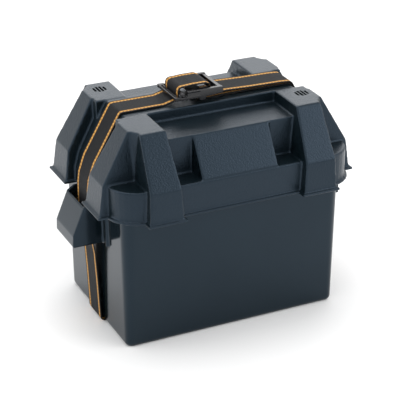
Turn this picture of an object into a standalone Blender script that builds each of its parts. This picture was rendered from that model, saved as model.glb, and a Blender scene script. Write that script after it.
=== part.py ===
"""A battery box for a caravan or boat: moulded base and lid, webbing strap with a slide-bar buckle,
and the flooded 12 V deep cycle battery that it holds.

Metres, +Z up. The origin is the middle of the underside, X runs along the long side and the front
faces -Y. Everything stands where it is when the box is closed and strapped down."""

import math

import bmesh
import bpy
from mathutils import Matrix, Vector

# Fits and walls
GAP = 0.0003
LID_WALL = 0.0026
BASE_WALL = 0.0028
ROUND_SIDES = 24
CORNER_STEPS = 8

# Base tub: half sizes at the floor and at the rim
TUB_FOOT = (0.1408, 0.0925, 0.0085)
TUB_RIM = (0.1438, 0.0975, 0.0145)
FOOT_ROUNDING = 0.0045
TUB_FLOOR_TOP = 0.0057
FLANGE_LOW, FLANGE_TOP = 0.1775, 0.1807
FLANGE = (0.1496, 0.1082, 0.0320)
CHANNEL_HALF_WIDTH, CHANNEL_DEPTH = 0.0220, 0.0026

# Carrying hood at each end of the base, and the web on the wall on each side of it
HOOD_HALF_WIDTH = 0.0290
HOOD_WALL = 0.0030
HOOD_OUTSIDE = ((0.1664, 0.1654), (0.1812, 0.1300), (0.1820, 0.1150))
CHEEK_TOP = (0.1575, 0.1712)
WEB_PLATE_X, WEB_PLATE_Y = 0.1466, (0.0436, 0.0464)
WEB_PLATE_LOW = 0.1170

# Lid
LID_LOW = 0.1723
LID_BAND = (0.1545, 0.1120, 0.0360)
BAND_TOP = 0.2120
SHELF_TOP = 0.2585
RIDGE_TOP = 0.2719
TOWER_TOP = 0.2725
CORE = (0.1270, 0.0817)
RIDGE_HALF_WIDTH = 0.0300
KNEE = 0.2123
LIP_OUT, LIP_HIGH = 0.0033, 0.0030
PANEL_HALF_WIDTH = 0.0495
PANEL_FACE = ((0.0820, SHELF_TOP), (0.1120, 0.2085))
TOWER_X = (0.0846, 0.1246)
TOWER_CHAMFER = ((0.1246, 0.0712), (0.1170, 0.0817))
NECK_X, NECK_Y = (0.0872, 0.1085), (0.0200, 0.0500)
# Each rib as (height, near side, far side, how far out) from the top down
SIDE_RIB = (
    (TOWER_TOP, 0.0846, 0.1174, 0.0862),
    (KNEE, 0.0807, 0.1205, 0.1219),
    (LID_LOW, 0.0785, 0.1216, 0.1243),
)
END_RIB = (
    (TOWER_TOP, 0.0405, 0.0717, 0.1262),
    (KNEE, 0.0343, 0.0769, 0.1605),
    (LID_LOW, 0.0314, 0.0783, 0.1661),
)
RIB_ROOTS = (0.0700, 0.1100)
CORE_CORNER, TOWER_LOW = (0.1100, 0.0650), 0.2000
QUARTERS = ((1, 1, 1), (-1, 1, -1), (-1, -1, 1), (1, -1, -1))
VALLEY = ((0.1115, RIDGE_TOP), (0.1458, 0.2125), (0.1520, 0.1930), (0.1530, 0.1810))
VALLEY_HALF_WIDTH, VALLEY_CUT_HALF_WIDTH = 0.0450, 0.0400
REST_LEDGE = (0.1440, 0.0990)
REST_LEDGE_HIGH = 0.0030
VENTS = ((-0.1057, 0.0648), (0.1105, -0.0512))
VENT_SLOTS, VENT_SLOT_WIDTH, VENT_PITCH, VENT_RADIUS = 4, 0.0029, 0.0043, 0.0090

# Webbing strap
WEB_WIDTH, WEB_THICK = 0.0380, 0.0016
STRAP_SPLIT = 0.1360

# Buckle
BUCKLE_LEFT, BUCKLE_RIGHT = -0.0460, 0.0167
BUCKLE_HALF_WIDTH, RAIL_WIDTH, SLOT_PLATE = 0.0270, 0.0050, 0.0020
BUCKLE_LOW, LEFT_BAR_TOP, RAIL_TOP = 0.2790, 0.2833, 0.2893
RAIL_CAP_FROM = -0.0300
LEFT_BAR_X, RIGHT_BAR = -0.0398, (0.0118, 0.2804, 0.2877)
SLIDE_SLOT = (-0.0376, -0.0130, 0.2822, 0.2874)
SLIDE_BAR_X, SLIDE_BAR_Z, SLIDE_BAR_RADIUS = -0.0345, 0.2848, 0.0023
ANCHOR_BAR = (-0.0120, -0.0080, 0.2758, 0.2784)

# Battery
CASE_FOOT = (0.1284, 0.0826, 0.0060)
CASE_RIM = (0.1290, 0.0850, 0.0080)
CASE_LOW, CASE_TOP = 0.0060, 0.1840
CASE_WALL, PARTITION, CELL_FLOOR = 0.0028, 0.0018, 0.0115
CELLS = 6
COVER_TOP, COVER_WALL, VENT_STRIP_TOP, VENT_STRIP_HALF = 0.2050, 0.0030, 0.2090, 0.0240
WELL_RADIUS, PLUG_RADIUS = 0.0104, 0.0098
GANG_CAP_HALF, GANG_CAP_HIGH, CAP_MIDDLE = 0.0200, 0.0092, 0.0636
TERMINAL_X, TERMINAL_Y = 0.1059, -0.0520
STUD_X = 0.0815
BUSHING_RADIUS, SHANK_RADIUS = 0.0140, 0.0080
POST_LOW_RADIUS, POST_TOP_RADIUS, POST_TOP = 0.0098, 0.0088, 0.2240
PAD_TOP, STUD_RADIUS, STUD_TOP = 0.2125, 0.0040, 0.2360
COLLAR_RADIUS, PAD_RADIUS, ARM_HALF_WIDTH = 0.0125, 0.0110, 0.0080
WASHER_RADIUS, WASHER_THICK = 0.0090, 0.0016
NUT_HUB_RADII, NUT_HUB_HIGH, WING_HALF_THICK = (0.0075, 0.0062), 0.0090, 0.0014
WING_OUTLINE = (
    (0.0045, 0.0020),
    (0.0085, 0.0030),
    (0.0132, 0.0095),
    (0.0138, 0.0150),
    (0.0105, 0.0155),
    (0.0050, 0.0080),
)

# Plates, as half sizes across the case and heights
PLATE_THICK, PLATE_PITCH = 0.0024, 0.0044
PLATE_HALF_WIDTH, PLATE_LOW, PLATE_TOP = 0.0740, 0.0160, 0.1450
NEGATIVES, POSITIVES = 5, 4
BUS_Y, BUS_HALF_WIDTH, BUS_LOW, BUS_TOP = 0.0520, 0.0080, 0.1520, 0.1580
LINK_Z, LINK_RADIUS = 0.1660, 0.0050
SEPARATOR_THICK = 0.0008


# Scene

for old in list(bpy.data.objects):
    bpy.data.objects.remove(old)

parts = bpy.data.collections.new("battery_box")
helpers = bpy.data.collections.new("cutters")
bpy.context.scene.collection.children.link(parts)
bpy.context.scene.collection.children.link(helpers)


def material(name, colour, roughness, metallic=0.0):
    """A plain Principled material."""
    made = bpy.data.materials.new(name)
    made.use_nodes = True
    shader = made.node_tree.nodes["Principled BSDF"]
    shader.inputs["Base Color"].default_value = (*colour, 1.0)
    shader.inputs["Roughness"].default_value = roughness
    shader.inputs["Metallic"].default_value = metallic
    return made


MOULDED_BLACK = material("moulded_black", (0.022, 0.025, 0.030), 0.42)
WEBBING = material("webbing", (0.018, 0.017, 0.016), 0.85)
BUCKLE_BLACK = material("buckle_black", (0.015, 0.015, 0.017), 0.30)
CASE_PLASTIC = material("case_plastic", (0.020, 0.020, 0.022), 0.45)
CAP_PLASTIC = material("cap_plastic", (0.55, 0.40, 0.03), 0.45)
LEAD = material("lead", (0.36, 0.37, 0.39), 0.55, 1.0)
STEEL = material("steel", (0.62, 0.62, 0.60), 0.30, 1.0)
LEAD_OXIDE = material("lead_oxide", (0.18, 0.08, 0.04), 0.9)
SEPARATOR = material("separator", (0.75, 0.73, 0.66), 0.9)


# Modelling helpers


def helper(name, bm):
    """A hidden object that other shapes are cut by or joined with, until finish() makes it a part."""
    bmesh.ops.recalc_face_normals(bm, faces=bm.faces)
    mesh = bpy.data.meshes.new(name)
    bm.to_mesh(mesh)
    bm.free()
    made = bpy.data.objects.new(name, mesh)
    made.hide_render = True
    made.display_type = "WIRE"
    helpers.objects.link(made)
    return made


def box(name, low, high):
    bm = bmesh.new()
    middle = (Vector(low) + Vector(high)) / 2
    size = Vector(high) - Vector(low)
    bmesh.ops.create_cube(bm, size=1.0, matrix=Matrix.Translation(middle) @ Matrix.Diagonal((*size, 1.0)))
    return helper(name, bm)


def cylinder(name, radius, x, y, low, high, top_radius=None, sides=ROUND_SIDES):
    bm = bmesh.new()
    bmesh.ops.create_cone(
        bm,
        cap_ends=True,
        segments=sides,
        radius1=radius,
        radius2=radius if top_radius is None else top_radius,
        depth=high - low,
        matrix=Matrix.Translation((x, y, (low + high) / 2)),
    )
    return helper(name, bm)


def prism(name, outline, low, high, along):
    """A flat outline pushed from low to high along X or Y. The outline is in the other two axes."""
    bm = bmesh.new()
    if along == "Y":
        corners = [bm.verts.new((a, low, b)) for a, b in outline]
        move = Vector((0, high - low, 0))
    else:
        corners = [bm.verts.new((low, a, b)) for a, b in outline]
        move = Vector((high - low, 0, 0))
    face = bm.faces.new(corners)
    pushed = bmesh.ops.extrude_face_region(bm, geom=[face])["geom"]
    bmesh.ops.translate(bm, verts=[v for v in pushed if isinstance(v, bmesh.types.BMVert)], vec=move)
    return helper(name, bm)


def rounded_rectangle(half_x, half_y, radius, z):
    """The outline of a rectangle with round corners, at one height."""
    points = []
    for turn, (sx, sy) in enumerate(((1, 1), (-1, 1), (-1, -1), (1, -1))):
        for step in range(CORNER_STEPS + 1):
            angle = math.radians(90 * (turn + step / CORNER_STEPS))
            x = sx * (half_x - radius) + radius * math.cos(angle)
            y = sy * (half_y - radius) + radius * math.sin(angle)
            points.append((x, y, z))
    return points


def loft(name, rings):
    """A solid through outlines that have the same number of points, capped at both ends."""
    bm = bmesh.new()
    loops = []
    for ring in rings:
        corners = [bm.verts.new(point) for point in ring]
        loops.append([bm.edges.new((corners[i - 1], corners[i])) for i in range(len(corners))])
    for lower, upper in zip(loops, loops[1:]):
        bmesh.ops.bridge_loops(bm, edges=lower + upper)
    bmesh.ops.edgeloop_fill(bm, edges=loops[0])
    bmesh.ops.edgeloop_fill(bm, edges=loops[-1])
    return helper(name, bm)


def change(target, operation, *others):
    """Boolean modifiers on the target, one for each of the other shapes."""
    for other in others:
        modifier = target.modifiers.new(other.name, "BOOLEAN")
        modifier.operation = operation
        modifier.object = other
        modifier.solver = "EXACT"
    return target


def join(target, *others):
    return change(target, "UNION", *others)


def cut(target, *others):
    return change(target, "DIFFERENCE", *others)


def body(name, pivot=(0, 0, 0), under=None):
    """An empty on a joint's axis, which the pieces of one moving body hang from."""
    empty = bpy.data.objects.new(name, None)
    empty.empty_display_size = 0.02
    parts.objects.link(empty)
    empty.location = Vector(pivot)
    if under is not None:
        empty.parent = under
        empty.matrix_parent_inverse = Matrix.Translation(-PIVOTS[under.name])
    PIVOTS[name] = Vector(pivot)
    return empty


def finish(shape, name, stuff, parent, smooth_angle=None):
    """Makes a shape one of the object's parts."""
    helpers.objects.unlink(shape)
    parts.objects.link(shape)
    shape.name = name
    shape.data.materials.clear()
    shape.data.materials.append(stuff)
    shape.hide_render = False
    shape.display_type = "TEXTURED"
    shape.parent = parent
    shape.matrix_parent_inverse = Matrix.Translation(-PIVOTS[parent.name])
    if smooth_angle is not None:
        shape.data.shade_smooth()
        shape.data.set_sharp_from_angle(angle=math.radians(smooth_angle))
    return shape


PIVOTS = {}
BASE = body("base")
BATTERY = body("battery", (0, 0, CASE_LOW), BASE)
LID = body("lid", (0, 0, FLANGE_TOP), BATTERY)
STRAP = body("strap_top", (0, 0, RIDGE_TOP), LID)
SLIDER = body("slide_bar", (SLIDE_BAR_X, 0, SLIDE_BAR_Z), STRAP)
CAPS = {side: body(f"cap_lift_{side}", (side * CAP_MIDDLE, 0, VENT_STRIP_TOP), BATTERY) for side in (-1, 1)}
NUTS = {side: body(f"nut_turn_{side}", (side * STUD_X, TERMINAL_Y, PAD_TOP), BATTERY) for side in (-1, 1)}


# Base: an open tub with a rim flange, and a carrying hood on each end that the strap runs through


def tub(name, inwards, low, high):
    """The tub's tapered form, drawn in by a wall's thickness."""
    foot_x, foot_y, foot_r = TUB_FOOT
    rim_x, rim_y, rim_r = TUB_RIM
    rings = []
    for lift, back in ((0, 1.0), (0.3, 0.3), (1.0, 0)):
        shrink = inwards + FOOT_ROUNDING * back
        radius = foot_r - min(shrink, 0.006)
        height = low + FOOT_ROUNDING * lift
        rings.append(rounded_rectangle(foot_x - shrink, foot_y - shrink, radius, height))
    rings.append(rounded_rectangle(rim_x - inwards, rim_y - inwards, rim_r - inwards, high))
    return loft(name, rings)


def carrying_hood(side):
    """The plates of one end: the hood's wall, its two cheeks and the web on the wall beside each cheek."""
    outline = [(side * x, z) for x, z in HOOD_OUTSIDE]
    inside = [(side * (x - HOOD_WALL), z) for x, z in reversed(HOOD_OUTSIDE)]
    wall_x = side * (TUB_FOOT[0] - BASE_WALL / 2)
    cheek_x, cheek_top = CHEEK_TOP
    cheek = outline + [(wall_x, HOOD_OUTSIDE[2][1]), (wall_x, cheek_top), (side * cheek_x, cheek_top)]
    pieces = [prism(f"hood_wall_{side}", outline + inside, -HOOD_HALF_WIDTH, HOOD_HALF_WIDTH, "Y")]
    for hand in (-1, 1):
        edges = sorted((hand * HOOD_HALF_WIDTH, hand * (HOOD_HALF_WIDTH - HOOD_WALL)))
        pieces.append(prism(f"cheek_{side}_{hand}", cheek, *edges, "Y"))
        xs = sorted((wall_x, side * WEB_PLATE_X))
        ys = sorted(hand * y for y in WEB_PLATE_Y)
        low, high = (xs[0], ys[0], WEB_PLATE_LOW), (xs[1], ys[1], FLANGE_LOW + GAP)
        pieces.append(box(f"web_plate_{side}_{hand}", low, high))
    return pieces


base_shape = tub("base_outside", 0, 0, FLANGE_TOP)
flange_x, flange_y, flange_r = FLANGE
flange_rings = [rounded_rectangle(flange_x, flange_y, flange_r, z) for z in (FLANGE_LOW, FLANGE_TOP - GAP)]
join(base_shape, loft("flange", flange_rings))
for end in (-1, 1):
    join(base_shape, *carrying_hood(end))
cut(base_shape, tub("base_inside", BASE_WALL, TUB_FLOOR_TOP, FLANGE_TOP + 0.01))
channel_low, channel_high = (-0.2, -CHANNEL_HALF_WIDTH, -0.01), (0.2, CHANNEL_HALF_WIDTH, CHANNEL_DEPTH)
cut(base_shape, box("strap_channel", channel_low, channel_high))
finish(base_shape, "box_base", MOULDED_BLACK, BASE, 35)


# Lid: a thin shell whose form is a band with a raised core, four ribbed towers and two panels


def inset(outline, distance):
    """A convex outline with every side moved in by the distance."""
    middle = Vector((sum(p[0] for p in outline), sum(p[1] for p in outline))) / len(outline)
    lines = []
    for start, end in zip(outline, outline[1:] + outline[:1]):
        start, end = Vector(start), Vector(end)
        normal = (end - start).orthogonal().normalized()
        if normal.dot(middle - start) < 0:
            normal = -normal
        lines.append((start + normal * distance, end - start))
    points = []
    for (a, u), (b, v) in zip(lines[-1:] + lines[:-1], lines):
        along = (b - a).cross(v) / u.cross(v)
        points.append(tuple(a + u * along))
    return points


def rib(name, stations, shrink, along_side, signs):
    """One tapered rib, from its stations. It starts well inside the core, so that it joins it."""
    rings = []
    for height, near, far, out in stations:
        near, far, out = near + shrink, far - shrink, out - shrink * (1.15 if height > LID_LOW else 1.0)
        height = height - shrink if height == TOWER_TOP else height
        if height == LID_LOW:
            height -= max(shrink, 0) * 4
        root = RIB_ROOTS[0] if along_side else RIB_ROOTS[1]
        corners = ((near, root), (far, root), (far, out), (near, out))
        if not along_side:
            corners = [(across, along) for along, across in corners]
        rings.append([(signs[0] * x, signs[1] * y, height) for x, y in corners])
    return loft(name, rings)


def tower(name, shrink, signs):
    """One tower, up from the band, its outer corner cut off. A hollow one also opens into the ridge."""
    inner_y = RIDGE_HALF_WIDTH - GAP + shrink
    (far_x, chamfer_y), (chamfer_x, far_y) = TOWER_CHAMFER
    near_x = TOWER_X[0]
    outline = [(near_x, 0), (far_x, 0), (far_x, chamfer_y), (chamfer_x, far_y), (near_x, far_y)]
    corners = [(x, max(y, inner_y)) for x, y in inset(outline, shrink)]
    levels = (TOWER_LOW + GAP, TOWER_TOP - shrink)
    rings = [[(signs[0] * x, signs[1] * y, z) for x, y in corners] for z in levels]
    pieces = [loft(name, rings)]
    if shrink > 0:
        xs = sorted(signs[0] * x for x in NECK_X)
        ys = sorted(signs[1] * y for y in NECK_Y)
        pieces.append(box(f"{name}_neck", (xs[0], ys[0], 0.25), (xs[1], ys[1], RIDGE_TOP - shrink - GAP)))
    return pieces


def lid_form(name, shrink):
    """The lid's outside with every face drawn in by shrink. A positive shrink also runs on downwards."""
    low = LID_LOW - max(shrink, 0) * 4
    band_x, band_y, band_r = LID_BAND
    band = (band_x - shrink, band_y - shrink, band_r - shrink)
    form = loft(name, [rounded_rectangle(*band, z) for z in (low, BAND_TOP - shrink)])
    quarter = [(CORE[0], CORE_CORNER[1]), (CORE_CORNER[0], CORE[1])]
    corners = [(sx * x, sy * y) for sx, sy, order in QUARTERS for x, y in quarter[::order]]
    core_rings = [[(x, y, z) for x, y in inset(corners, shrink)] for z in (TOWER_LOW, SHELF_TOP - shrink)]
    join(form, loft(f"{name}_core", core_rings))
    end_profile = [(0.09, 0.14), (0.09, RIDGE_TOP), *VALLEY, (VALLEY[-1][0], 0.14)]
    slope = inset(end_profile, max(shrink, 0))
    deeper = inset(end_profile, max(shrink, 0) + 2 * GAP)
    above_slope = [(deeper[2][0], 0.3), *deeper[2:6], (deeper[6][0], 0.1), (0.2, 0.1), (0.2, 0.3)]
    for sx in (-1, 1):
        outline = [(sx * x, z) for x, z in above_slope]
        half = VALLEY_CUT_HALF_WIDTH
        cut(form, prism(f"{name}_valley_cut_{sx}", outline, -half, half, "Y"))
    half = RIDGE_HALF_WIDTH - shrink
    join(form, box(f"{name}_ridge", (-0.1, -half, 0.24), (0.1, half, RIDGE_TOP - shrink)))
    for sx in (-1, 1):
        profile = [(sx * x, max(z, low)) for x, z in slope]
        join(form, prism(f"{name}_valley_{sx}", profile, -VALLEY_HALF_WIDTH, VALLEY_HALF_WIDTH, "Y"))
        for sy in (-1, 1):
            join(form, *tower(f"{name}_tower_{sx}_{sy}", shrink, (sx, sy)))
            join(form, rib(f"{name}_side_rib_{sx}_{sy}", SIDE_RIB, shrink, True, (sx, sy)))
            join(form, rib(f"{name}_end_rib_{sx}_{sy}", END_RIB, shrink, False, (sx, sy)))
    for sy in (-1, 1):
        profile = inset([(0.06, 0.14), (0.06, SHELF_TOP), *PANEL_FACE, (PANEL_FACE[1][0], 0.14)], shrink)
        profile = [(sy * y, max(z, low)) for y, z in profile]
        half_x = PANEL_HALF_WIDTH - shrink
        join(form, prism(f"{name}_panel_{sy}", profile, -half_x, half_x, "X"))
    return form


lid_shape = lid_form("lid_outside", 0)
lip = lid_form("lid_lip", -LIP_OUT)
change(lip, "INTERSECT", box("lip_slab", (-0.2, -0.2, LID_LOW), (0.2, 0.2, LID_LOW + LIP_HIGH)))
join(lid_shape, lip)
hollow = lid_form("lid_inside", LID_WALL)
ledge_x, ledge_y = REST_LEDGE
ledge_heights = (FLANGE_TOP + GAP, FLANGE_TOP + REST_LEDGE_HIGH)
ledge_outside = (ledge_x + 0.012, ledge_y + 0.012, 0.0280)
ledge = loft("rest_ledge", [rounded_rectangle(*ledge_outside, z) for z in ledge_heights])
cut(ledge, loft("ledge_opening", [rounded_rectangle(ledge_x, ledge_y, 0.0180, z) for z in (0.17, 0.19)]))
cut(hollow, ledge)
cut(lid_shape, hollow)
for vent, (vent_x, vent_y) in enumerate(VENTS):
    for slot in range(VENT_SLOTS):
        offset = (slot - (VENT_SLOTS - 1) / 2) * VENT_PITCH
        half = math.sqrt(VENT_RADIUS**2 - offset**2) - 0.0008
        cut(
            lid_shape,
            box(
                f"vent_{vent}_{slot}",
                (vent_x + offset - VENT_SLOT_WIDTH / 2, vent_y - half, 0.26),
                (vent_x + offset + VENT_SLOT_WIDTH / 2, vent_y + half, 0.28),
            ),
        )
finish(lid_shape, "box_lid", MOULDED_BLACK, LID, 30)


# Strap: three runs of one webbing. The run under the box stays with the base, and the other two lift off


def webbing(name, route, parent):
    """A ribbon along a route in the XZ plane, thickened to the webbing."""
    bm = bmesh.new()
    half = WEB_WIDTH / 2
    edges = []
    start = [bm.verts.new((x, -half, z)) for x, z in route]
    for a, b in zip(start, start[1:]):
        edges.append(bm.edges.new((a, b)))
    pushed = bmesh.ops.extrude_edge_only(bm, edges=edges)["geom"]
    moved = [v for v in pushed if isinstance(v, bmesh.types.BMVert)]
    bmesh.ops.translate(bm, verts=moved, vec=(0, WEB_WIDTH, 0))
    ribbon = helper(name, bm)
    thick = ribbon.modifiers.new("webbing", "SOLIDIFY")
    thick.thickness = WEB_THICK
    thick.offset = 0
    thick.use_even_offset = True
    return finish(ribbon, name, WEBBING, parent)


def mirrored(route):
    return [(-x, z) for x, z in route]


# From the split inside the hood down the end wall and round the foot
DOWN_THE_END = [
    (-0.1541, 0.1250),
    (-0.1497, 0.0950),
    (-0.1475, 0.0600),
    (-0.1455, 0.0160),
    (-0.1450, 0.0062),
    (-0.1433, 0.0026),
    (-0.1395, 0.0013),
]
webbing("strap_lower", DOWN_THE_END + mirrored(DOWN_THE_END)[::-1], BASE)

# From the split up the end valley to the flat of the ridge
UP_THE_END = [
    (-0.1552, STRAP_SPLIT),
    (-0.1558, 0.1610),
    (-0.1556, 0.1800),
    (-0.1540, 0.1930),
    (-0.1490, 0.2080),
    (-0.1464, 0.2145),
    (-0.1146, 0.2697),
    (-0.1136, 0.2714),
    (-0.1120, 0.2729),
    (-0.1090, 0.2734),
]
# Under the left bar, over the slide bar, down before the right bar, and the free tail above the right run
THROUGH_THE_BUCKLE = [
    (-0.0560, 0.2734),
    (-0.0460, 0.2760),
    (-0.0405, 0.2776),
    (-0.0378, 0.2800),
    (-0.0382, 0.2860),
    (-0.0372, 0.2905),
    (-0.0340, 0.2923),
    (-0.0180, 0.2932),
    (-0.0020, 0.2930),
    (0.0030, 0.2908),
    (0.0058, 0.2860),
    (0.0085, 0.2808),
    (0.0125, 0.2784),
    (0.0172, 0.2785),
    (0.0260, 0.2786),
]
TAIL = [
    (0.0600, 0.2772),
    (0.1000, 0.2764),
    (0.1092, 0.2757),
    (0.1130, 0.2750),
    (0.1152, 0.2729),
    (0.1164, 0.2707),
    (0.1332, 0.2416),
]
webbing("strap_left", UP_THE_END + THROUGH_THE_BUCKLE + TAIL, STRAP)

# The right run bows up a little under the tail, and ends in a loop sewn round the anchor bar
SEWN_LOOP = [
    (0.0850, 0.2738),
    (0.0600, 0.2744),
    (0.0250, 0.2744),
    (0.0050, 0.2736),
    (-0.0110, 0.2734),
    (-0.0140, 0.2750),
    (-0.0148, 0.2772),
    (-0.0135, 0.2793),
    (-0.0105, 0.2800),
    (-0.0010, 0.2792),
]
webbing("strap_right", mirrored(UP_THE_END) + SEWN_LOOP, STRAP)


# Buckle: a frame with two end bars, rails with a slot in each, and the bar that slides in the slots

rail_outline = [
    (BUCKLE_LEFT, BUCKLE_LOW),
    (BUCKLE_LEFT, LEFT_BAR_TOP),
    (SLIDE_SLOT[0], LEFT_BAR_TOP),
    (SLIDE_SLOT[0], SLIDE_SLOT[2]),
    (RAIL_CAP_FROM - 0.0008, SLIDE_SLOT[2]),
    (SLIDE_SLOT[1], SLIDE_SLOT[2]),
    (SLIDE_SLOT[1], SLIDE_SLOT[3]),
    (RAIL_CAP_FROM, SLIDE_SLOT[3]),
    (RAIL_CAP_FROM, RAIL_TOP),
    (BUCKLE_RIGHT, RAIL_TOP - 0.0008),
    (BUCKLE_RIGHT, BUCKLE_LOW + 0.0012),
    (ANCHOR_BAR[1] + 0.0030, BUCKLE_LOW),
    (ANCHOR_BAR[1] + 0.0015, ANCHOR_BAR[2] - 0.0004),
    (ANCHOR_BAR[0] - 0.0015, ANCHOR_BAR[2] - 0.0004),
    (ANCHOR_BAR[0] - 0.0030, BUCKLE_LOW),
]
inner_y, outer_y = BUCKLE_HALF_WIDTH - RAIL_WIDTH, BUCKLE_HALF_WIDTH
buckle = prism("buckle_rail_front", rail_outline, -outer_y, -inner_y, "Y")
join(buckle, prism("buckle_rail_back", rail_outline, inner_y, outer_y, "Y"))

# A plate on the outside of each rail closes its slot, apart from the end where the bar rests
for side in (-1, 1):
    ys = sorted((side * (outer_y - SLOT_PLATE), side * (outer_y - GAP)))
    plate_low = (RAIL_CAP_FROM, ys[0], SLIDE_SLOT[2] - 0.0015)
    plate_high = (SLIDE_SLOT[1] + 0.0010, ys[1], RAIL_TOP - 2 * GAP)
    join(buckle, box(f"slot_plate_{side}", plate_low, plate_high))

bar_y = outer_y - GAP
left_bar_low = (BUCKLE_LEFT + GAP, -bar_y, BUCKLE_LOW + GAP)
left_bar_high = (LEFT_BAR_X, bar_y, LEFT_BAR_TOP - GAP)
join(buckle, box("left_bar", left_bar_low, left_bar_high))
inner_y = BUCKLE_HALF_WIDTH - RAIL_WIDTH / 2
right_bar_low = (RIGHT_BAR[0], -inner_y, RIGHT_BAR[1])
right_bar_high = (BUCKLE_RIGHT - GAP, inner_y, RIGHT_BAR[2])
join(buckle, box("right_bar", right_bar_low, right_bar_high))
anchor_left, anchor_right, anchor_low, anchor_top = ANCHOR_BAR
join(buckle, box("anchor_bar", (anchor_left, -inner_y, anchor_low), (anchor_right, inner_y, anchor_top)))
finish(buckle, "buckle_frame", BUCKLE_BLACK, STRAP)

bar_bm = bmesh.new()
bmesh.ops.create_cone(
    bar_bm,
    cap_ends=True,
    segments=16,
    radius1=SLIDE_BAR_RADIUS,
    radius2=SLIDE_BAR_RADIUS,
    depth=2 * (BUCKLE_HALF_WIDTH - SLOT_PLATE - GAP),
    matrix=Matrix.Translation((SLIDE_BAR_X, 0, SLIDE_BAR_Z)) @ Matrix.Rotation(math.radians(90), 4, "X"),
)
finish(helper("slide_bar_shape", bar_bm), "buckle_slide_bar", STEEL, SLIDER, 30)


# Battery case: one moulding with six cells, and a hole through each partition for the weld between cells

case_x = CASE_RIM[0] - CASE_WALL
cell_length = (2 * case_x - (CELLS - 1) * PARTITION) / CELLS
cell_pitch = cell_length + PARTITION
cell_centres = [(i - (CELLS - 1) / 2) * cell_pitch for i in range(CELLS)]
link_sides = [1 if i % 2 == 0 else -1 for i in range(CELLS)]

case = loft("case_shape", [rounded_rectangle(*CASE_FOOT, CASE_LOW), rounded_rectangle(*CASE_RIM, CASE_TOP)])
for number, x in enumerate(cell_centres, 1):
    half_x, half_y = cell_length / 2, CASE_FOOT[1] - CASE_WALL
    cell_low, cell_high = (x - half_x, -half_y, CELL_FLOOR), (x + half_x, half_y, CASE_TOP + 0.01)
    cut(case, box(f"cell_{number}", cell_low, cell_high))


def along_x(name, radius, x_low, x_high, y, z, sides=12):
    bm = bmesh.new()
    place = Matrix.Translation(((x_low + x_high) / 2, y, z)) @ Matrix.Rotation(math.radians(90), 4, "Y")
    bmesh.ops.create_cone(
        bm, cap_ends=True, segments=sides, radius1=radius, radius2=radius, depth=x_high - x_low, matrix=place
    )
    return helper(name, bm)


for number in range(CELLS - 1):
    wall_x = cell_centres[number] + cell_pitch / 2
    y = link_sides[number] * BUS_Y
    hole_low, hole_high = wall_x - PARTITION, wall_x + PARTITION
    cut(case, along_x(f"weld_hole_{number}", LINK_RADIUS + 0.0005, hole_low, hole_high, y, LINK_Z))
    reach = PARTITION / 2 + 0.0016
    link = along_x("link", LINK_RADIUS, wall_x - reach, wall_x + reach, y, LINK_Z)
    finish(link, f"cell_weld_{number + 1}", LEAD, BATTERY, 30)
finish(case, "battery_case", CASE_PLASTIC, BATTERY, 30)


# Plate groups: plates hung from a bus bar, whose upright reaches the weld in the partition


def plate_group(name, count, side, upright, stuff):
    """side is the bus bar's side of the cell, upright the end of the bar that rises to the weld."""
    bus_half = cell_length / 2 - 0.0012
    y_low, y_high = sorted((side * (BUS_Y - BUS_HALF_WIDTH), side * (BUS_Y + BUS_HALF_WIDTH)))
    shape = box(f"{name}_bus", (-bus_half, y_low, BUS_LOW), (bus_half, y_high, BUS_TOP))
    edge = cell_length / 2 - 0.0020
    x_low, x_high = sorted((upright * (edge - 0.0060), upright * edge))
    upright_low, upright_high = (x_low, y_low + GAP, BUS_LOW + GAP), (x_high, y_high - GAP, LINK_Z + 0.0070)
    join(shape, box(f"{name}_upright", upright_low, upright_high))
    for plate in range(count):
        x = (plate - (count - 1) / 2) * 2 * PLATE_PITCH
        low, high = x - PLATE_THICK / 2, x + PLATE_THICK / 2
        grid_low, grid_high = (low, -PLATE_HALF_WIDTH, PLATE_LOW), (high, PLATE_HALF_WIDTH, PLATE_TOP)
        lug_low = (low + GAP, y_low + GAP, PLATE_TOP - 0.004)
        lug_high = (high - GAP, y_high - GAP, BUS_LOW + 0.003)
        join(shape, box(f"{name}_plate_{plate}", grid_low, grid_high))
        join(shape, box(f"{name}_lug_{plate}", lug_low, lug_high))
    return shape


def plain_mesh(shape):
    graph = bpy.context.evaluated_depsgraph_get()
    return bpy.data.meshes.new_from_object(shape.evaluated_get(graph))


groups = {}
for kind, count, upright in (("positive", POSITIVES, 1), ("negative", NEGATIVES, -1)):
    for side in (-1, 1):
        groups[kind, side] = plain_mesh(plate_group(f"{kind}_{side}", count, side, upright, LEAD))

for number, (x, side) in enumerate(zip(cell_centres, link_sides), 1):
    for kind, hand in (("positive", side), ("negative", -side)):
        group = bpy.data.objects.new(f"{kind}_plates_{number}", groups[kind, hand])
        helpers.objects.link(group)
        finish(group, f"{kind}_plates_{number}", LEAD_OXIDE if kind == "positive" else LEAD, BATTERY)
        group.location.x = x


# Separators: one folded sheet in each cell, which passes between every two plates

spaces = NEGATIVES + POSITIVES - 1
fold = []
for space in range(spaces):
    x = (space - (spaces - 1) / 2) * PLATE_PITCH
    ends = (-1, 1) if space % 2 == 0 else (1, -1)
    fold += [(x, ends[0] * (PLATE_HALF_WIDTH + 0.0022)), (x, ends[1] * (PLATE_HALF_WIDTH + 0.0022))]

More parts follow.
